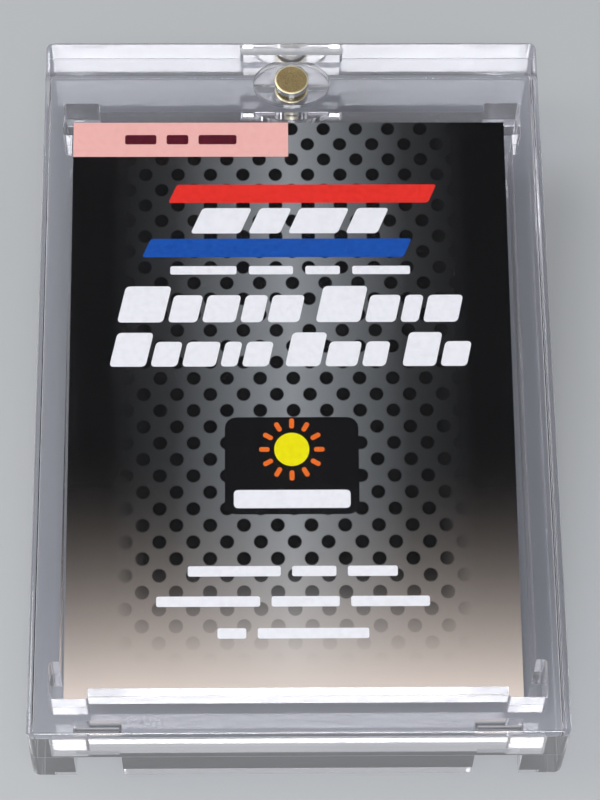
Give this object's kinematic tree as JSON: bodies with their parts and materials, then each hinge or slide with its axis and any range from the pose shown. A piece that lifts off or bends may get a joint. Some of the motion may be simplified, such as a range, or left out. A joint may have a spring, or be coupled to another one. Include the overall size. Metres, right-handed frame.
{
  "type": "magnetic card holder",
  "caption": "Clear moulded card case held shut by magnets, its lid tilting open on tabs at one end, with a deep card recess, corner cut-outs and a printed insert card, lying on its back.",
  "frame": {"origin": "middle of the case's back face, which the case lies on", "axes": "+Z out of the front face, +Y from the tab end towards the magnet end, +X to the right seen from the front"},
  "size_m": [0.073, 0.109, 0.016],
  "materials": {
    "clear_plastic": "clear polished moulding",
    "magnet_plating": "plated, satin",
    "insert_paper": "printed card with a light gloss"
  },
  "bodies": {
    "base": {"back_half": "clear_plastic", "back_magnet": "magnet_plating", "back_magnet_cap": "clear_plastic", "insert_card": "insert_paper"},
    "lid": {"front_half": "clear_plastic", "front_magnet": "magnet_plating", "front_magnet_cap": "clear_plastic"}
  },
  "joints": [
    {"name": "lid_tilt", "type": "hinge", "parent": "base", "child": "lid", "pos_m": [0, -0.0545, 0.008], "axis": [1, 0, 0], "range_deg": [0, 45]}
  ]
}
